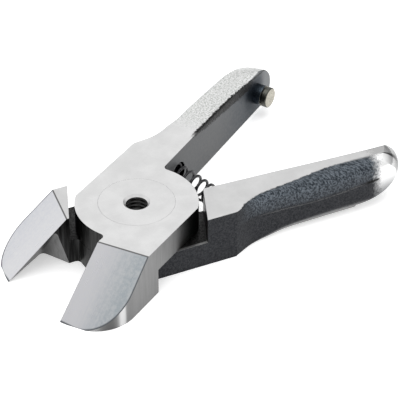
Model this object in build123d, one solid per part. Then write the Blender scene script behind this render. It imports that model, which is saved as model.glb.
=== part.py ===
from build123d import *
from math import cos, radians, sin, tan
import os

# Millimetres and degrees. Origin on the pivot axis at the flat underside, +X
# towards the ends of the arms, +Z up. Each blade is drawn closed, with its own
# arm on the +Y side, then swung open about the pivot.

THICK = 12.7
MID = THICK / 2
LAP_GAP = 0.04
OPEN_HALF = 16.8

HINGE_R = 14.1
SIDE_Y = 13.1
UPPER_JAW_SIDE_Y = 13.1
LOWER_JAW_SIDE_Y = 12.35
BLOCK_END_X = 19.0
SLOT_AT = 15.45
SLOT_DIR = 110.0
ROOT_FILLET = 1.1

TIP_X = -31.6
TIP_Y = -0.1
TIP_Z = 0.15
NOSE_X = -31.6
NOSE_Y = -3.5
CREASE_IN = (-16.75, -0.7)
CREASE_OUT = (-15.5, -12.9)

EDGE_ROOT_X = -19.5
HOLLOW_HEEL = (-16.6, -0.62, 0.0)
HOLLOW_DEEP = (-20.8, -7.1, 0.0)
HOLLOW_FILLET = 1.2

ARM_IN_X = 15.3
ARM_IN_Y = 1.85
ARM_IN_ANGLE = 2.75
ARM_FOOT = 0.5
UPPER_CORNER_SCALE = 0.4
LOWER_CORNER_SCALE = 1.0

# Ellipsoids that round the arm ends: centre and half lengths
UPPER_END_AT = (55.8, 4.0, 5.0)
UPPER_END_SIZE = (13.5, 13.0, 7.95)
LOWER_END_AT = (51.7, 2.7, 7.4)
LOWER_END_SIZE = (14.1, 10.2, 7.65)

BUSH_HEAD_R = 8.8
BUSH_HEAD_H = 3.0
BUSH_SHANK_R = 6.4
BUSH_HOLE_R = 2.5
BUSH_MOUTH = 0.6
RUNNING = 0.03

SPRING_X = 21.3
SPRING_R = 2.3
SPRING_WIRE_R = 0.34
SPRING_PITCH = 2.05
POCKET_R = 3.0
POCKET_DEPTH = 4.0
POCKET_END_GAP = 0.35

PIN_X = 61.7
PIN_Z = 5.6
PIN_R = 2.6
PIN_END_Y = 0.1
PIN_DEPTH = 3.6
PIN_CHAMFER = 0.2
PIN_GROOVE_Y = 1.4
PIN_GROOVE_WIDTH = 0.45
PIN_GROOVE_R = 2.25

# Arm sections: station x, outer side y, outer corner radius at the top (scaled
# for each blade) and at the bottom, height and width of the inner top rounding
ARM_STATIONS = (
    (19.0, 13.1, 0.2, 0.2, 0.15, 0.05),
    (20.3, 12.5, 0.3, 0.3, 0.2, 0.08),
    (22.0, 11.65, 0.45, 0.4, 0.25, 0.1),
    (24.0, 10.85, 0.6, 0.5, 0.3, 0.12),
    (27.0, 10.35, 0.85, 1.0, 0.45, 0.15),
    (32.0, 10.05, 1.3, 2.2, 0.9, 0.2),
    (38.0, 10.15, 1.9, 3.0, 1.5, 0.35),
    (44.0, 10.3, 2.4, 3.4, 2.3, 0.5),
    (50.0, 10.3, 2.6, 3.5, 2.8, 0.6),
    (57.0, 10.0, 2.8, 3.5, 2.8, 0.6),
    (72.0, 9.5, 3.0, 3.5, 2.0, 0.5),
)


def arm_inner_y(x):
    return ARM_IN_Y + (x - ARM_IN_X) * tan(radians(ARM_IN_ANGLE))


def edge_y(x):
    along = (x - CREASE_IN[0]) / (TIP_X - CREASE_IN[0])
    return CREASE_IN[1] + along * (TIP_Y - CREASE_IN[1])


def edge_z(x):
    along = (x - CREASE_IN[0]) / (TIP_X - CREASE_IN[0])
    return THICK + along * (TIP_Z - THICK)


def jaw_outline(side_y):
    nose_r = side_y + NOSE_Y
    nose_cx = NOSE_X + nose_r
    corner = nose_r * sin(radians(45))
    nose_mid = (nose_cx - corner, NOSE_Y - corner)
    lines = [
        Line((0, edge_y(0)), (TIP_X, TIP_Y)),
        Line((TIP_X, TIP_Y), (NOSE_X, NOSE_Y)),
        ThreePointArc((NOSE_X, NOSE_Y), nose_mid, (nose_cx, -side_y)),
        Line((nose_cx, -side_y), (0, -side_y)),
        Line((0, -side_y), (0, edge_y(0))),
    ]
    return make_face(Curve() + lines)


def root_outline():
    inner_end = (BLOCK_END_X, arm_inner_y(BLOCK_END_X))
    points = [(0, arm_inner_y(0)), inner_end, (BLOCK_END_X, SIDE_Y), (0, SIDE_Y)]
    return make_face(Polyline(*points, close=True))


def block(jaw_side_y):
    strip = Pos(0, (SIDE_Y - jaw_side_y) / 2) * Rectangle(2 * HINGE_R, SIDE_Y + jaw_side_y)
    outline = Circle(HINGE_R) & strip
    outline = outline + jaw_outline(jaw_side_y) + root_outline()
    jaw_corner = outline.vertices().sort_by_distance((-HINGE_R, -0.7, 0))[0]
    arm_corner = outline.vertices().sort_by_distance((HINGE_R, 1.8, 0))[0]
    outline = fillet([jaw_corner, arm_corner], ROOT_FILLET)
    return extrude(outline, THICK)


def quarter(centre, radius, start):
    return CenterArc(centre, radius, start, 90)


def arm_section(corner_scale, x, outer_y, top_r, low_r, round_h, round_w):
    inner_y = arm_inner_y(x)
    top_r = top_r * corner_scale
    wall_top = (inner_y, THICK - round_h)
    flat_in = (inner_y + round_w, THICK)
    lines = [
        Line((inner_y, ARM_FOOT), wall_top),
        Spline(wall_top, flat_in, tangents=[(0, 1), (1, 0)]),
        Line(flat_in, (outer_y - top_r, THICK)),
        quarter((outer_y - top_r, THICK - top_r), top_r, 0),
        Line((outer_y, THICK - top_r), (outer_y, low_r)),
        quarter((outer_y - low_r, low_r), low_r, 270),
        Line((outer_y - low_r, 0), (inner_y + ARM_FOOT, 0)),
        Line((inner_y + ARM_FOOT, 0), (inner_y, ARM_FOOT)),
    ]
    place = Plane(origin=(x, 0, 0), x_dir=(0, 1, 0), z_dir=(1, 0, 0))
    return place * make_face(Curve() + lines)


def arm(corner_scale, end_at, end_size):
    swept = loft([arm_section(corner_scale, *station) for station in ARM_STATIONS])
    rounding = Pos(*end_at) * scale(Sphere(1), by=end_size)
    beyond = Box(40, 60, 60, align=(Align.MIN, Align.CENTER, Align.CENTER))
    return swept - (Pos(end_at[0], 0, 0) * beyond - rounding)


def above(origin, normal):
    space = Box(90, 90, 60, align=(Align.CENTER, Align.CENTER, Align.MIN))
    return Plane(origin=origin, z_dir=normal) * space


def jaw_face_cut():
    inner = Vector(CREASE_IN[0], CREASE_IN[1], THICK)
    outer = Vector(CREASE_OUT[0], CREASE_OUT[1], THICK)
    tip = Vector(TIP_X, TIP_Y, TIP_Z)
    normal = (tip - inner).cross(outer - inner).normalized()
    if normal.Z < 0:
        normal = normal * -1
    return above(inner, normal)


def half_space(a, b, c, side):
    normal = (b - a).cross(c - a).normalized()
    if normal.dot(side - a) < 0:
        normal = normal * -1
    return above(a, normal)


def hollow_cut():
    tip = Vector(TIP_X, TIP_Y, TIP_Z)
    root = Vector(EDGE_ROOT_X, edge_y(EDGE_ROOT_X), edge_z(EDGE_ROOT_X))
    deep = Vector(*HOLLOW_DEEP)
    heel = Vector(*HOLLOW_HEEL)
    open_side = Vector(-22, 2, 0)
    wedge = half_space(tip, root, deep, open_side) & half_space(root, heel, deep, open_side)
    line = (deep - root).normalized()
    corner = [e for e in wedge.edges() if abs(e.tangent_at(0.5).dot(line)) > 0.9999]
    corner = ShapeList(corner).sort_by_distance(root)[0]
    return fillet(corner, HOLLOW_FILLET)


def slot_cut(low, high):
    slot = Box(60, 2 * SLOT_AT, high - low, align=(Align.CENTER, Align.CENTER, Align.MIN))
    return Pos(0, 0, low) * Rot(0, 0, SLOT_DIR) * slot


def pocket_mouth():
    return Vector(SPRING_X, arm_inner_y(SPRING_X), MID)


def pocket_cut():
    over = 3
    bore = Cylinder(POCKET_R, POCKET_DEPTH + over, align=(Align.CENTER, Align.CENTER, Align.MIN))
    mouth = pocket_mouth()
    into = Vector(sin(radians(OPEN_HALF)), cos(radians(OPEN_HALF)), 0)
    return Plane(origin=mouth - into * over, z_dir=into) * bore


def pin_solid(radius, y_low, y_high):
    plane = Plane(origin=(PIN_X, y_low, PIN_Z), z_dir=(0, 1, 0))
    return plane * Cylinder(radius, y_high - y_low, align=(Align.CENTER, Align.CENTER, Align.MIN))


def bush_solid(head_r, shank_r):
    shank = Cylinder(shank_r, THICK, align=(Align.CENTER, Align.CENTER, Align.MIN))
    head = Cylinder(head_r, BUSH_HEAD_H, align=(Align.CENTER, Align.CENTER, Align.MIN))
    return shank + Pos(0, 0, THICK - BUSH_HEAD_H) * head


def blade(jaw_side_y, whole_arm, slot_low, slot_high):
    solid = block(jaw_side_y) + whole_arm
    solid -= slot_cut(slot_low, slot_high)
    solid -= jaw_face_cut()
    solid -= hollow_cut()
    solid -= pocket_cut()
    return solid


def upper_blade():
    whole_arm = arm(UPPER_CORNER_SCALE, UPPER_END_AT, UPPER_END_SIZE)
    solid = blade(UPPER_JAW_SIDE_Y, whole_arm, -1, MID + LAP_GAP)
    solid -= bush_solid(BUSH_HEAD_R + RUNNING, BUSH_SHANK_R + RUNNING)
    solid -= pin_solid(PIN_R, arm_inner_y(PIN_X) - 3, arm_inner_y(PIN_X) + PIN_DEPTH)
    return Rot(0, 0, OPEN_HALF) * solid


def lower_blade():
    whole_arm = arm(LOWER_CORNER_SCALE, LOWER_END_AT, LOWER_END_SIZE)
    solid = blade(LOWER_JAW_SIDE_Y, whole_arm, MID - LAP_GAP, THICK + 1)
    solid -= Cylinder(BUSH_SHANK_R, 3 * THICK)
    return Rot(0, 0, -OPEN_HALF) * mirror(solid, about=Plane.XZ)


def pivot_bush():
    solid = bush_solid(BUSH_HEAD_R, BUSH_SHANK_R) - Cylinder(BUSH_HOLE_R, 3 * THICK)
    mouth = solid.edges().filter_by(GeomType.CIRCLE).group_by(Axis.Z)[-1].sort_by(SortBy.RADIUS)[0]
    return chamfer(mouth, BUSH_MOUTH)


def arm_pin():
    solid = pin_solid(PIN_R, PIN_END_Y, arm_inner_y(PIN_X) + PIN_DEPTH)
    end = solid.edges().filter_by(GeomType.CIRCLE).sort_by(Axis.Y)[0]
    groove = pin_solid(PIN_R + 1, PIN_GROOVE_Y, PIN_GROOVE_Y + PIN_GROOVE_WIDTH)
    groove -= pin_solid(PIN_GROOVE_R, PIN_GROOVE_Y, PIN_GROOVE_Y + PIN_GROOVE_WIDTH)
    return Rot(0, 0, OPEN_HALF) * (chamfer(end, PIN_CHAMFER) - groove)


def return_spring():
    mouth = pocket_mouth().rotate(Axis.Z, OPEN_HALF)
    reach = mouth.Y + POCKET_DEPTH - POCKET_END_GAP - SPRING_WIRE_R
    coil = Helix(SPRING_PITCH, 2 * reach, SPRING_R)
    wire = Plane(origin=coil @ 0, z_dir=coil % 0) * Circle(SPRING_WIRE_R)
    solid = sweep(wire, path=coil, is_frenet=True)
    return Plane(origin=(mouth.X, -reach, MID), z_dir=(0, 1, 0)) * solid


def main():
    os.makedirs("parts", exist_ok=True)
    nodes = {
        "upper_blade": upper_blade(),
        "lower_blade": lower_blade(),
        "pivot_bush": pivot_bush(),
        "arm_pin": arm_pin(),
        "return_spring": return_spring(),
    }
    for name, solid in nodes.items():
        export_step(solid, f"parts/{name}.step")


main()
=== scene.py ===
import math

import bpy
from mathutils import Matrix, Vector


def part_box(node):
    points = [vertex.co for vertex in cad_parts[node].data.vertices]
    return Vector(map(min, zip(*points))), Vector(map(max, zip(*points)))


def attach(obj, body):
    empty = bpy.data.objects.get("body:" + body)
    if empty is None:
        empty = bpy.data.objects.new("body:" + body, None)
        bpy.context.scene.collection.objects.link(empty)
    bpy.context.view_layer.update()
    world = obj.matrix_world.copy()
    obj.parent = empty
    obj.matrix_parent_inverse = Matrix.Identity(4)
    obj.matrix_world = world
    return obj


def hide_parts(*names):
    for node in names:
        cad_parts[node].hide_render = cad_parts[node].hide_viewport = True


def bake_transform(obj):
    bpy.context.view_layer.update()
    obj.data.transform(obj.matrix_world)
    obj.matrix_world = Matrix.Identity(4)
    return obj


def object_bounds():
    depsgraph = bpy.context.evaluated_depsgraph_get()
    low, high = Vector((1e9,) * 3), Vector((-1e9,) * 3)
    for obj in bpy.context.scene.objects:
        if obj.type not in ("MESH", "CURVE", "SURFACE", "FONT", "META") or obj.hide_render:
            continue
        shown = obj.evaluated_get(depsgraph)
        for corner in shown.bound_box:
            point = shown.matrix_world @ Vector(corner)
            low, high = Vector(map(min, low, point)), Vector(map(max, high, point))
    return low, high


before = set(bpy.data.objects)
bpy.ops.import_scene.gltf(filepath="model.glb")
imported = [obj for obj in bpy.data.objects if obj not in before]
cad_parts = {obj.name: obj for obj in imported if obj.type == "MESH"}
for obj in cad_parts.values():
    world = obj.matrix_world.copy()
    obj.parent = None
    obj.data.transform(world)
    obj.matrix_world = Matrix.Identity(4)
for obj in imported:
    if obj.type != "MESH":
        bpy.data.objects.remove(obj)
cad_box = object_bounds()

# How far each blade is turned at rest, and the tool's thickness, in millimetres like all sizes below
MM = 0.001
TURN = math.radians(16.8)
THICK = 12.7

# Pivot bush: its flange, shank, thread, and the flared mouth of its hole
BUSH_HEAD_H = 3.0
BUSH_SHANK_R = 6.4
THREAD_PITCH = 1.0
THREAD_DEPTH = 0.5
THREAD_R = 2.5
THREAD_STEP = 0.125
MOUTH_R = 3.1
MOUTH_FLARE = MOUTH_R - THREAD_R

# Arm pin: its place along the arm and above the underside, and its groove
PIN_X = 61.7
PIN_Z = 5.6
PIN_GROOVE_Y = 1.62
PIN_GROOVE_HALF = 0.24

# Return spring: its coils nearly touch over the closed turns at each end, which sit in round pockets
WIRE_R = 0.34
COIL_R = 2.3
TURNS = 11.5
CLOSED_TURNS = 1.2
CLOSED_PITCH = 2.2 * WIRE_R
POCKET_R = 3.0

# Arms: their inner wall's slope, and where its line passes the pivot
ARM_IN_SLOPE = 0.048
ARM_IN_START = 1.115

# How far the upper arm's forged edge, where the painted sheen of its top meets the painted shade of the
# band, shifts along and across the arm for each millimetre down
SHORE_SHIFT_X = 1.27
SHORE_SHIFT_Y = 0.71

# Jaws, by side: 1 is the upper blade, -1 the lower blade
SIDES = {"upper_blade": 1, "lower_blade": -1}
JAW_SIDE_Y = {1: 13.1, -1: 12.35}
NOSE_X = -31.6
NOSE_Y = -3.5
CREASE_X = -16.82
CREASE_SLOPE = 0.1025
SLANT = math.radians(-50)

# Camera: its place in millimetres, and where it points
CAMERA_AT = (-221.209, -267.976, 273.207)
CAMERA_AZIMUTH = math.radians(41.906)
CAMERA_DOWN = math.radians(36.832)
CAMERA_LENS = 172.57

# How far the floor is below the tool
FLOOR_GAP = 0.02


class Graph:
    """A node tree, written as calls."""

    def __init__(self, owner, shader="Principled BSDF"):
        owner.use_nodes = True
        self.owner = owner
        self.tree = owner.node_tree
        self.shader = self.tree.nodes[shader]

    def put(self, socket, value):
        if isinstance(value, bpy.types.NodeSocket):
            self.tree.links.new(value, socket)
        else:
            socket.default_value = value

    def node(self, kind, settings=(), **inputs):
        made = self.tree.nodes.new("ShaderNode" + kind)
        for name, value in dict(settings).items():
            setattr(made, name, value)
        for name, value in inputs.items():
            self.put(made.inputs[name.replace("_", " ")], value)
        return made

    def math(self, operation, *values):
        made = self.node("Math", {"operation": operation})
        for socket, value in zip(made.inputs, values):
            self.put(socket, value)
        return made.outputs[0]

    def add(self, *values):
        total = values[0]
        for value in values[1:]:
            total = self.math("ADD", total, value)
        return total

    def times(self, *values):
        product = values[0]
        for value in values[1:]:
            product = self.math("MULTIPLY", product, value)
        return product

    def less(self, a, b):
        return self.math("SUBTRACT", a, b)

    def inverse(self, value):
        return self.less(1.0, value)

    def either(self, a, b):
        return self.math("MAXIMUM", a, b)

    def length(self, a, b):
        """How far (a, b) is from (0, 0)."""
        return self.math("SQRT", self.add(self.times(a, a), self.times(b, b)))

    def step(self, value, low, high):
        """0 at low and 1 at high, smooth between them, for low above high too."""
        made = self.node("MapRange", {"interpolation_type": "SMOOTHSTEP"}, Value=value)
        self.put(made.inputs["From Min"], low)
        self.put(made.inputs["From Max"], high)
        return made.outputs["Result"]

    def span(self, value, low, high):
        """A number from 0..1 spread over low..high."""
        made = self.node("MapRange", Value=value)
        self.put(made.inputs["To Min"], low)
        self.put(made.inputs["To Max"], high)
        return made.outputs["Result"]

    def curve(self, value, size, points):
        """A smooth line through points, in units of size = (widest value, highest result)."""
        made = self.node("FloatCurve", Value=self.math("DIVIDE", value, size[0]))
        line = made.mapping.curves[0]
        for x, y in points[1:-1]:
            line.points.new(x / size[0], y / size[1])
        line.points[0].location = (points[0][0] / size[0], points[0][1] / size[1])
        line.points[-1].location = (points[-1][0] / size[0], points[-1][1] / size[1])
        made.mapping.update()
        return self.times(made.outputs[0], size[1])

    def mix(self, factor, a, b):
        made = self.node("Mix", {"data_type": "RGBA"})
        self.put(made.inputs[0], factor)
        self.put(made.inputs[6], a)
        self.put(made.inputs[7], b)
        return made.outputs[2]

    def blend(self, factor, a, b):
        made = self.node("Mix", {"data_type": "FLOAT"})
        self.put(made.inputs[0], factor)
        self.put(made.inputs[2], a)
        self.put(made.inputs[3], b)
        return made.outputs[0]

    def mapped(self, vector, scale=(1, 1, 1), turn=0.0, kind="POINT"):
        made = self.node("Mapping", {"vector_type": kind}, Vector=vector, Scale=scale)
        made.inputs["Rotation"].default_value = (0, 0, turn)
        return made.outputs[0]

    def noise(self, vector, scale, detail=3.0, rough=0.55):
        made = self.node("TexNoise", Vector=vector, Scale=scale, Detail=detail, Roughness=rough)
        return made.outputs["Fac"]

    def cells(self, vector, scale):
        made = self.node("TexVoronoi", Vector=vector, Scale=scale)
        return made.outputs["Distance"]

    def axes(self, vector):
        return self.node("SeparateXYZ", Vector=vector).outputs

    def bump(self, height, distance, strength=1.0, normal=None):
        made = self.node("Bump", Height=height, Distance=distance, Strength=strength)
        if normal is not None:
            self.put(made.inputs["Normal"], normal)
        return made.outputs[0]

    def edge_normal(self, radius):
        return self.node("Bevel", {"samples": 4}, Radius=radius).outputs[0]

    def finish(self, **inputs):
        for name, value in inputs.items():
            self.put(self.shader.inputs[name.replace("_", " ")], value)
        return self.owner


def material(name):
    return Graph(bpy.data.materials.new(name))


def grey(value, blue=0.0):
    return (value * (1 - blue), value, value * (1 + blue), 1)


# ---------------------------------------------------------------- blades


class Surface:
    """A point on a blade in millimetres, as if the tool was closed and this arm on the +Y side."""

    def __init__(self, g, side):
        source = g.node("TexCoord").outputs
        self.side = side
        self.tool_at = g.axes(source["Object"])
        self.place = g.mapped(source["Object"], (1 / MM, side / MM, 1 / MM), -TURN)
        self.x, self.y, self.z = g.axes(self.place)
        facing = g.axes(g.mapped(source["Normal"], (1, side, 1), -TURN, "VECTOR"))
        self.out_x, self.out_y, self.out_z = facing
        self.steep = g.math("ABSOLUTE", self.out_z)
        self.level = g.step(self.steep, 0.93, 0.99)
        self.upright = g.step(self.steep, 0.45, 0.3)
        self.inset = g.less(self.y, g.add(g.times(self.x, ARM_IN_SLOPE), ARM_IN_START))
        self.rag = g.times(g.less(g.noise(self.place, 1.4, 4.0, 0.75), 0.5), 2.2)
        self.fine = g.noise(self.place, 1.6, 4.0, 0.7)
        self.streaks = g.noise(g.mapped(self.place, (2.2, 2.2, 0.12)), 1.0, 3.0)
        self.marks = grind_marks(g, self.place)
        self.lumps, self.fleck = forged_skin(g, self.place)


def grind_marks(g, place):
    """Fine parallel scratches, stretched along X."""
    fine = g.noise(g.mapped(place, (0.12, 3.2, 0)), 1.0, 2.0, 0.6)
    broad = g.noise(g.mapped(place, (0.04, 0.64, 0)), 1.0, 2.0)
    return g.add(g.times(fine, 0.55), g.times(broad, 0.45))


def forged_skin(g, place):
    """Height and sparkle of the rough skin left by forging and blasting."""
    lumps = g.noise(place, 1.3, 4.0, 0.7)
    pits = g.step(g.cells(place, 2.4), 0.0, 0.45)
    height = g.add(g.times(lumps, 0.7), g.times(pits, 0.3))
    slanted = g.mapped(g.mapped(place, turn=SLANT), (0.8, 2.3, 1.6))
    return height, g.noise(slanted, 1.2, 4.0, 0.75)


def from_line(g, value, middle, half):
    """1 on a line of the given half width, fading to 0 beside it."""
    return g.step(g.math("ABSOLUTE", g.less(value, middle)), half * 1.3, half * 0.5)


def ground_flat(g, place, tone=1.0):
    """A flat ground face: a soft mottle and a fine grain."""
    mottle = g.step(g.noise(place, 0.16, 4.0, 0.6), 0.3, 0.7)
    grain = g.step(g.noise(place, 2.6, 3.0, 0.7), 0.3, 0.7)
    colour = g.mix(mottle, grey(0.66 * tone), grey(0.74 * tone))
    return g.mix(g.times(grain, 0.12), colour, grey(0.50))


def jaw_face(g, s):
    """The slanted cutting face: cloudy scratches, on steel painted darker away from the edge as painted
    shade.
    """
    light, far_shade, worn = (0.66, 0.665, 0.69, 1), (0.60, 0.61, 0.65, 1), grey(0.72)
    # Painted shade: the upper blade's jaw face gets darker copies of the same steel colours.
    if s.side > 0:
        light, far_shade, worn = (0.55, 0.55, 0.575, 1), (0.345, 0.38, 0.405, 1), grey(0.56)
    # Painted shade: darker across the face, away from the cutting edge.
    across = g.step(g.add(s.y, g.times(g.less(s.marks, 0.5), 3.0)), -2.0, -12.0)
    cloud = g.add(g.times(s.marks, 0.35), g.times(g.noise(s.place, 1.1, 5.0, 0.75), 0.65))
    scratches = g.times(g.step(cloud, 0.4, 0.62), 0.5)
    return g.mix(scratches, g.mix(across, light, far_shade), worn)


def jaw_wall(g, s):
    """The jaw's outer wall, with painted shade that fades it to black under the lap joint."""
    steel = g.mix(s.streaks, grey(0.15), grey(0.25))
    # Painted shade: near black towards the lap joint.
    return g.mix(g.step(s.x, -8.0, 9.0), steel, grey(0.02))


def nose_radius(side):
    return JAW_SIDE_Y[side] + NOSE_Y


def jaw_nose(g, s):
    """The jaw's round nose, with painted reflections: light and dark stripes that run down the polished
    steel.
    """
    nose_x = NOSE_X + nose_radius(s.side)
    around = g.math("ARCTAN2", g.less(NOSE_Y, s.y), g.less(nose_x, s.x))
    # Painted reflection: light and dark stripes by the angle around the nose.
    nose_reflection = g.curve(
        g.add(around, g.times(g.less(s.streaks, 0.5), 0.05)), (1.6, 1.0),
        [(0, 0.40), (0.45, 0.50), (0.75, 0.14), (0.95, 0.12), (1.1, 0.42), (1.22, 0.95),
         (1.3, 0.75), (1.38, 0.27), (1.6, 0.27)],
    )
    return g.mix(nose_reflection, grey(0.04), grey(0.60))


def recesses(g, s, colour):
    """Painted shade in the throat, on the lap joint's step and in the hollow behind the cutting edge, and a
    painted highlight on the ledge's outer edge.
    """
    from_middle = g.math("ABSOLUTE", s.y)
    inner = g.times(g.step(s.x, -21.5, -20.5), g.step(s.x, 17.4, 15.2), g.step(from_middle, 12.9, 12.6))
    lap = g.times(from_line(g, s.z, THICK / 2, 0.2), s.level)
    throat = g.either(g.times(inner, g.step(s.steep, 0.7, 0.5)), lap)
    colour = g.mix(throat, colour, g.mix(g.step(s.streaks, 0.3, 0.8), grey(0.010), grey(0.065)))
    hollow = g.times(g.step(s.out_z, -0.03, -0.08), g.step(s.x, -14.0, -15.0), g.inverse(s.level))
    hollow_steel = g.mix(s.streaks, grey(0.13), grey(0.30))
    colour = g.mix(hollow, colour, g.mix(g.step(s.x, -21.0, -18.5), grey(0.05), hollow_steel))
    # Painted highlight along the outer edge of the lap joint's ledge.
    ledge_highlight = g.times(lap, g.step(from_middle, 12.2, 12.7))
    return g.mix(ledge_highlight, colour, grey(0.28))


def jaw_rim(g, s):
    """Distance inside the outer rim of the jaw, which ends in a round nose."""
    nose_r = nose_radius(s.side)
    dx = g.either(g.less(NOSE_X + nose_r, s.x), 0.0)
    dy = g.either(g.less(NOSE_Y, s.y), 0.0)
    return g.less(nose_r, g.length(dx, dy))


def jaw_lines(g, s, jaw, colour):
    """The fine dark lines where the cutting face starts and around its rim."""
    crease = from_line(g, g.add(s.x, g.times(s.y, CREASE_SLOPE)), CREASE_X, 0.17)
    crease = g.times(crease, g.step(s.out_z, 0.5, 0.7), g.step(s.x, -13.0, -14.0))
    colour = g.mix(crease, colour, grey(0.13))
    rim = g.step(g.add(jaw_rim(g, s), g.times(s.rag, 0.05)), 0.42, 0.12)
    return g.mix(g.times(jaw, rim), colour, grey(0.12, 0.08))


def ground_steel(g, s):
    """Colour and roughness of every machined surface of a blade."""
    colour = ground_flat(g, s.place, 1.0 if s.side > 0 else 0.89)
    jaw = g.times(g.step(s.x, -14.8, -15.2), g.step(s.out_z, 0.3, 0.5), g.inverse(s.level))
    colour = g.mix(jaw, colour, jaw_face(g, s))
    wall = g.times(s.upright, g.step(s.x, 9.0, 5.0), g.step(s.y, -9.0, -9.8))
    colour = g.mix(wall, colour, jaw_wall(g, s))
    nose = g.times(s.upright, g.step(s.x, -19.5, -21.5))
    colour = g.mix(nose, colour, jaw_nose(g, s))
    colour = jaw_lines(g, s, jaw, recesses(g, s, colour))
    return colour, g.blend(jaw, g.span(s.marks, 0.30, 0.42), g.span(s.marks, 0.24, 0.33))


def pocket_shade_mask(g, s):
    """Where the blind pockets for the return spring are, which are painted near black as shade."""
    low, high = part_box("return_spring")
    dx = g.less(s.tool_at[0], (low.x + high.x) / 2)
    dz = g.less(s.tool_at[2], (low.z + high.z) / 2)
    deep = g.times(g.step(s.inset, 0.02, 0.1), g.step(s.inset, 6.0, 5.0))
    return g.times(g.step(g.length(dx, dz), (POCKET_R + 0.12) * MM, (POCKET_R + 0.02) * MM), deep)


def inner_wall(g, s):
    """An arm's inner wall, with painted shade around the arm pin."""
    colour = g.mix(g.step(s.x, 38.0, 60.0), grey(0.11, 0.03), (0.06, 0.07, 0.082, 1))
    colour = g.mix(g.step(s.x, 63.0, 67.0), colour, grey(0.18, 0.04))
    colour = g.mix(g.times(g.step(s.fine, 0.3, 0.75), 0.35), colour, grey(0.17))
    if s.side < 0:
        return colour
    # Painted shade around the upper arm's pin.
    from_pin_shade = g.length(g.less(s.x, PIN_X - 1.7), g.less(s.z, PIN_Z + 1.2))
    pin_shade = g.times(g.step(g.add(from_pin_shade, g.times(s.rag, 0.8)), 6.0, 2.6), 0.9)
    return g.mix(pin_shade, colour, (0.022, 0.029, 0.038, 1))


def upper_arm_skin(g, s):
    """The upper arm's forged top, painted bright as a sheen; the forged band under its inner edge, painted
    dark as shade on its rounded shoulder; and the line around its end.
    """
    drop = g.less(THICK, s.z)
    shore = g.curve(
        g.less(s.x, g.times(drop, SHORE_SHIFT_X)), (80, 4),
        [(0, 2.7), (33, 2.54), (44, 2.32), (53, 1.61), (56.5, 1.17), (62, 0.61), (80, 0.3)],
    )
    edge = g.add(shore, g.times(drop, SHORE_SHIFT_Y))
    inside = g.less(g.add(s.inset, 2.0, g.times(s.rag, 0.8)), edge)
    top = g.times(g.step(inside, -0.1, 0.15), g.step(g.add(s.x, g.times(s.rag, 3.0)), 29.0, 36.0))
    top = g.times(top, g.step(s.out_z, -0.1, 0.15))
    foot = g.curve(
        s.x, (80, 14),
        [(0, 13.5), (28, 12.5), (34, 11.5), (44, 10.4), (54, 9.3), (60, 8.6), (80, 8.0)],
    )
    over_foot = g.less(g.add(s.z, g.times(s.rag, 1.2)), foot)
    near = g.step(s.inset, 1.6, 1.3)
    band = g.times(g.step(inside, 0.15, -0.1), g.step(over_foot, -0.2, 0.2))
    band = g.times(band, g.step(s.x, 27.0, 31.0), g.step(s.x, 61.0, 57.0), near)
    line = g.times(from_line(g, inside, -0.2, 0.2), g.step(s.x, 56.0, 58.0), near)
    return top, g.either(band, line)


def lower_arm_skin(g, s):
    """Where the lower arm's forged skin shows: outside a wavy line along the flat ground top."""
    shore = g.curve(
        s.x, (80, 16),
        [(0, 16), (18.6, 13.2), (19.8, 12.7), (21.8, 11.2), (23.5, 10.3), (27, 9.1), (32, 8.4),
         (38, 7.6), (43, 6.8), (49, 6.4), (56, 6.6), (80, 6.6)],
    )
    beyond = g.less(s.y, g.add(shore, g.times(s.rag, 0.6)))
    return g.times(g.step(beyond, -0.15, 0.15), g.step(s.x, 12.0, 14.0))


def over_flash(g, s):
    """Height above the parting line that the forging dies left along the outer side."""
    flash_z = g.curve(s.x, (80, 14), [(0, 7.4), (26, 7.4), (38, 6.8), (47, 7.1), (56, 7.8), (80, 8.0)])
    return g.less(g.add(s.z, g.times(s.rag, 0.3)), flash_z)


def outer_side(g, s, above):
    """The forged outer side: slate above the parting line, painted lighter higher up as a sheen, darker
    below it, and painted bright along its lower edge as a reflection.
    """
    dark = g.mix(g.step(s.fleck, 0.36, 0.64), (0.022, 0.023, 0.026, 1), (0.058, 0.060, 0.065, 1))
    slate = g.mix(g.step(s.fleck, 0.40, 0.62), (0.030, 0.037, 0.045, 1), (0.175, 0.198, 0.225, 1))
    # Partly painted sheen: the slate is lighter higher up the side.
    upper = g.times(g.add(g.step(above, 0.0, 1.2), g.step(above, 1.0, 5.0)), 0.5)
    colour = g.mix(g.times(upper, g.step(s.x, 19.0, 26.0)), dark, slate)
    flash = g.times(from_line(g, above, 0.0, 0.14), g.step(s.x, 24.0, 30.0), g.step(s.fine, 0.35, 0.5))
    colour = g.mix(g.times(flash, 0.4), colour, grey(0.20))
    # Painted reflection: lighter where the side faces down.
    return g.mix(g.step(s.out_z, -0.08, -0.45), colour, grey(0.30))


def arm_tip(node):
    """How far an arm reaches along its own length, from the pivot, in metres."""
    along = Vector((math.cos(TURN), SIDES[node] * math.sin(TURN), 0))
    return max(along.dot(vertex.co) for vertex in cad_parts[node].data.vertices)


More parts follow.
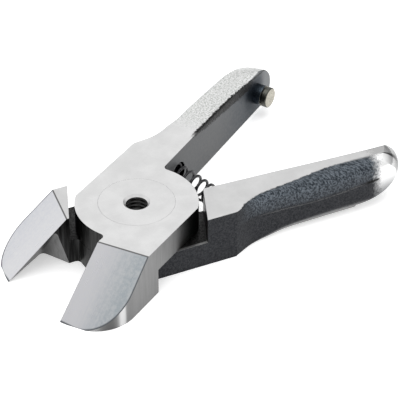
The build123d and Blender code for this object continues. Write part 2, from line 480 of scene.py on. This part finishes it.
def end_painted_reflections(g, s, node):
    """The ground end of an arm, with painted reflections: a flat top strip that darkens towards the tip, a
    dark crescent beside it and a dome painted bright above, darker below and dark along its far edge.
    """
    far_end = arm_tip(node) / MM
    strip_y = 6.9
    # Painted highlight and shade: the dome is bright higher up, darker lower down and near black where it
    # faces along the arm.
    dome = g.mix(g.step(s.z, 3.0, 9.0), grey(0.21, 0.02), grey(0.88))
    dome = g.mix(g.step(s.out_x, 0.35, 0.85), dome, grey(0.04))
    half = g.span(g.step(s.x, far_end - 7.0, far_end - 1.0), 0.05, 0.9)
    from_strip = g.math("ABSOLUTE", g.less(s.y, g.add(strip_y, g.times(s.rag, 0.1))))
    crescent = g.times(g.step(from_strip, half, g.times(half, 0.3)), g.step(s.out_z, 0.1, 0.3))
    strip = g.times(g.step(s.y, strip_y, strip_y - 0.3), g.step(s.out_z, 0.2, 0.5))
    strip_steel = g.mix(g.step(s.x, far_end - 3.5, far_end - 1.0), grey(0.42), grey(0.14))
    return g.mix(crescent, g.mix(strip, dome, strip_steel), grey(0.05))


def blade_material(node, side):
    g = material(node + "_steel")
    s = Surface(g, side)
    colour, rough = ground_steel(g, s)
    arm_wall = g.times(g.step(s.x, 14.8, 16.5), g.step(s.inset, 0.3, 0.1), g.step(s.out_y, -0.3, -0.6))
    arm_wall = g.times(arm_wall, s.upright)
    colour = g.mix(arm_wall, colour, inner_wall(g, s))
    skin = g.times(g.step(s.out_y, 0.5, 0.8), g.step(s.y, 9.0, 9.5), g.step(s.x, -12.6, -12.0))
    ball_polish_and_sheen = g.step(g.add(s.x, g.times(s.rag, 2.2)), 55.5, 58.8)
    if side > 0:
        top, band = upper_arm_skin(g, s)
        # Painted sheen: the forged top is painted bright, with a frosty mottle.
        frost = g.step(g.noise(s.place, 2.2, 4.0, 0.7), 0.34, 0.62)
        colour = g.mix(top, colour, g.mix(frost, (0.44, 0.455, 0.435, 1), grey(0.80)))
        # Painted shade on the forged band under the inner edge: near black.
        colour = g.mix(band, colour, g.mix(g.step(s.fleck, 0.4, 0.65), grey(0.014), grey(0.045)))
        rough = g.blend(top, rough, 0.42)
        skin = g.either(skin, band)
        raised = g.either(skin, g.times(top, 0.6))
        ball_polish_and_sheen = g.times(ball_polish_and_sheen, g.step(s.inset, 3.0, 5.0), g.step(s.out_z, 0.5, 0.2))
    else:
        skin = g.either(skin, lower_arm_skin(g, s))
        raised = skin
    above = over_flash(g, s)
    colour = g.mix(g.times(skin, g.step(s.inset, 2.5, 3.5)), colour, outer_side(g, s, above))
    # Painted reflections on the polished end.
    colour = g.mix(ball_polish_and_sheen, colour, end_painted_reflections(g, s, node))
    # Painted shade: a near-black mark where the flash line ends in a notch.
    notch_shade = g.times(from_line(g, above, 0.0, 0.35), g.step(s.x, 52.5, 55.0), g.step(s.x, 58.0, 57.2), skin)
    colour = g.mix(notch_shade, colour, grey(0.01))
    # Painted shade: the spring pockets are near black.
    colour = g.mix(pocket_shade_mask(g, s), colour, grey(0.006))

    rough = g.blend(skin, rough, g.span(s.fleck, 0.5, 0.7))
    rough = g.blend(ball_polish_and_sheen, rough, 0.14)
    rough = g.blend(arm_wall, rough, 0.5)
    normal = g.bump(s.marks, 0.004 * MM, 1.0, g.edge_normal(0.10 * MM))
    normal = g.bump(g.times(s.lumps, raised, g.inverse(ball_polish_and_sheen)), 0.30 * MM, 1.0, normal)
    # The polished end is less metallic so that its painted reflections show.
    metal = g.blend(ball_polish_and_sheen, 1.0, 0.7)
    return g.finish(Base_Color=colour, Metallic=metal, Roughness=rough, Normal=normal)


# ---------------------------------------------------------------- small parts


def millimetres(g, turn=0.0):
    """The point in millimetres, turned about the pivot."""
    return g.mapped(g.node("TexCoord").outputs["Object"], (1 / MM, 1 / MM, 1 / MM), turn)


def bush_material():
    g = material("bush_steel")
    place = millimetres(g)
    x, y, z = g.axes(place)
    radius = g.length(x, y)
    turned = g.node("CombineXYZ", X=g.times(radius, 9.0), Y=0.0, Z=g.times(z, 9.0)).outputs[0]
    marks = g.noise(turned, 1.0, 3.0)
    groove_r = THREAD_R + THREAD_DEPTH
    mouth_z = THICK - MOUTH_FLARE
    # Painted shade: the threaded bore is painted near black.
    bore_shade = g.times(g.step(radius, groove_r + 0.06, groove_r), g.step(z, mouth_z, mouth_z - 0.1))
    colour = g.mix(bore_shade, ground_flat(g, place), g.mix(marks, grey(0.02), grey(0.06)))
    normal = g.bump(marks, 0.004 * MM, 1.0, g.edge_normal(0.03 * MM))
    return g.finish(Base_Color=colour, Metallic=1.0, Roughness=g.span(marks, 0.28, 0.4), Normal=normal)


def pin_material():
    g = material("pin_steel")
    place = millimetres(g, -TURN)
    y = g.axes(place)[1]
    facing = g.mapped(g.node("TexCoord").outputs["Normal"], (1, 1, 1), -TURN, "VECTOR")
    end = g.step(g.axes(facing)[1], -0.8, -0.95)
    grain = g.noise(place, 2.5, 4.0, 0.65)
    stem = g.mix(grain, (0.02, 0.028, 0.04, 1), (0.12, 0.15, 0.18, 1))
    head = g.mix(grain, (0.045, 0.045, 0.04, 1), (0.13, 0.13, 0.115, 1))
    ground = g.mix(g.step(grain, 0.35, 0.65), (0.30, 0.285, 0.24, 1), (0.48, 0.46, 0.40, 1))
    colour = g.mix(g.step(y, PIN_GROOVE_Y - 0.1, PIN_GROOVE_Y + 0.1), head, stem)
    # Painted shade: the pin's groove is painted near black.
    groove_shade = from_line(g, y, PIN_GROOVE_Y, PIN_GROOVE_HALF)
    colour = g.mix(end, g.mix(groove_shade, colour, grey(0.008)), ground)
    normal = g.bump(grain, 0.03 * MM, 1.0, g.edge_normal(0.1 * MM))
    return g.finish(Base_Color=colour, Metallic=1.0, Roughness=g.blend(end, 0.28, 0.45), Normal=normal)


def wire_material():
    g = material("spring_wire")
    grain = g.noise(millimetres(g), 3.0, 3.0)
    colour = g.mix(g.step(grain, 0.4, 0.7), (0.012, 0.012, 0.014, 1), (0.05, 0.05, 0.055, 1))
    normal = g.bump(grain, 0.01 * MM)
    return g.finish(Base_Color=colour, Metallic=0.4, Roughness=g.span(grain, 0.28, 0.45), Normal=normal)


def new_piece(name, verts, faces, look, sharp=40):
    mesh = bpy.data.meshes.new(name)
    mesh.from_pydata(verts, [], faces)
    mesh.validate()
    mesh.polygons.foreach_set("use_smooth", [True] * len(mesh.polygons))
    mesh.set_sharp_from_angle(angle=math.radians(sharp))
    mesh.materials.append(look)
    piece = bpy.data.objects.new(name, mesh)
    bpy.context.scene.collection.objects.link(piece)
    return piece


def ring_faces(rings, count, closed=False):
    """Quads between neighbouring rings of count points each."""
    faces = []
    last = rings if closed else rings - 1
    for i in range(last):
        j = (i + 1) % rings
        for k in range(count):
            n = (k + 1) % count
            faces.append((i * count + k, i * count + n, j * count + n, j * count + k))
    return faces


def thread_depth(angle, z):
    """How far the thread cuts outwards at this angle and height, fading out at both ends."""
    phase = (z / THREAD_PITCH - angle / (2 * math.pi)) % 1.0
    return THREAD_DEPTH * min(1.0, max(0.0, 1.6 * abs(2 * phase - 1) - 0.3))


def threaded_bush():
    """A ring of points for each corner of the bush's outside, then for each step down its threaded hole."""
    low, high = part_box("pivot_bush")
    head_r = (high.x - low.x) / 2 / MM
    head_z = THICK - BUSH_HEAD_H
    hole_top = THICK - MOUTH_FLARE
    count = 96
    outline = [(THREAD_R, 0.0), (BUSH_SHANK_R, 0.0), (BUSH_SHANK_R, head_z), (head_r, head_z)]
    outline += [(head_r, THICK), (MOUTH_R, THICK)]
    rows = [(THREAD_R, hole_top - THREAD_STEP * i) for i in range(int(hole_top / THREAD_STEP))]
    verts = []
    for index, (r, z) in enumerate(outline + rows):
        for k in range(count):
            angle = 2 * math.pi * k / count
            cut = thread_depth(angle, z) if index > len(outline) else 0.0
            verts.append(Vector((r + cut, 0, z)) @ Matrix.Rotation(-angle, 3, "Z") * MM)
    faces = ring_faces(len(outline) + len(rows), count, closed=True)
    return new_piece("threaded_bush", verts, faces, bush_material())


def return_coil():
    """A round wire along a helix that is closed up at both ends."""
    low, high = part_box("return_spring")
    centre = (low + high) / 2
    length = high.y - low.y - 2 * WIRE_R * MM
    sides, per_turn = 12, 40
    steps = int(TURNS * per_turn)
    closed = CLOSED_TURNS / TURNS
    closed_rise = CLOSED_TURNS * CLOSED_PITCH * MM / length
    verts = []
    for i in range(steps + 1):
        t = i / steps
        if t < closed:
            along = closed_rise * t / closed
        elif t > 1 - closed:
            along = 1 - closed_rise * (1 - t) / closed
        else:
            along = closed_rise + (1 - 2 * closed_rise) * (t - closed) / (1 - 2 * closed)
        angle = 2 * math.pi * TURNS * t
        outward = Vector((math.cos(angle), 0, -math.sin(angle)))
        centre_line = centre + outward * COIL_R * MM
        centre_line.y = low.y + WIRE_R * MM + along * length
        for k in range(sides):
            turn = 2 * math.pi * k / sides
            offset = outward * math.cos(turn) + Vector((0, 1, 0)) * math.sin(turn)
            verts.append(centre_line + offset * WIRE_R * MM)
    faces = ring_faces(steps + 1, sides)
    faces.append(tuple(range(sides - 1, -1, -1)))
    faces.append(tuple(steps * sides + k for k in range(sides)))
    piece = new_piece("return_coil", verts, faces, wire_material())
    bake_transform(piece)
    return piece


# ---------------------------------------------------------------- stage


def studio():
    """An even white room with a darker low right and front, which gives the steel something to reflect."""
    world = bpy.data.worlds.new("studio")
    g = Graph(world, "Background")
    way = g.axes(g.node("TexCoord").outputs["Generated"])
    low = g.step(way[2], 0.55, 0.05)
    right = g.step(g.add(g.times(way[0], 0.9), g.times(way[1], 0.2)), 0.55, 0.9)
    front = g.step(g.add(g.times(way[0], -0.5), g.times(way[1], -0.6)), 0.0, 0.7)
    dark = g.either(g.times(low, right, 0.8), g.times(front, 0.45))
    g.finish(Color=g.mix(dark, (1.0, 1.0, 1.0, 1), (0.04, 0.045, 0.05, 1)), Strength=1.02)
    bpy.context.scene.world = world
    data = bpy.data.lights.new("overhead", "SUN")
    data.energy = 1.0
    data.angle = math.radians(60)
    lamp = bpy.data.objects.new("overhead", data)
    bpy.context.scene.collection.objects.link(lamp)


def floor():
    g = material("floor_paper")
    place = g.node("TexCoord").outputs["Object"]
    grain = g.noise(place, 60.0, 3.0)
    colour = g.mix(grain, (0.90, 0.90, 0.90, 1), (0.93, 0.93, 0.93, 1))
    g.finish(Base_Color=colour, Roughness=0.9, Emission_Color=(1, 1, 1, 1), Emission_Strength=0.45)
    reach = 3.0
    level = cad_box[0].z - FLOOR_GAP * MM
    verts = [(-reach, -reach, level), (reach, -reach, level), (reach, reach, level), (-reach, reach, level)]
    new_piece("floor", verts, [(0, 1, 2, 3)], g.owner)


def camera():
    data = bpy.data.cameras.new("camera")
    data.sensor_width = 36.0
    data.lens = CAMERA_LENS
    data.clip_start = 0.01
    data.clip_end = 10.0
    eye = bpy.data.objects.new("camera", data)
    right = Vector((math.cos(CAMERA_AZIMUTH), -math.sin(CAMERA_AZIMUTH), 0))
    ahead = Vector((math.sin(CAMERA_AZIMUTH), math.cos(CAMERA_AZIMUTH), 0))
    toward = ahead * math.cos(CAMERA_DOWN) - Vector((0, 0, math.sin(CAMERA_DOWN)))
    up = right.cross(toward)
    turn = Matrix((right, up, -toward)).transposed().to_4x4()
    eye.matrix_world = Matrix.Translation(Vector(CAMERA_AT) * MM) @ turn
    bpy.context.scene.collection.objects.link(eye)
    bpy.context.scene.camera = eye


def set_material(node, look):
    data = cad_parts[node].data
    data.materials.clear()
    data.materials.append(look)


def main():
    for name, side in SIDES.items():
        set_material(name, blade_material(name, side))
    set_material("arm_pin", pin_material())
    bush = threaded_bush()
    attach(bush, "lower_blade")
    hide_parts("pivot_bush")
    coil = return_coil()
    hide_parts("return_spring")
    floor()
    studio()
    camera()
    bpy.context.scene.view_settings.view_transform = "Standard"


main()
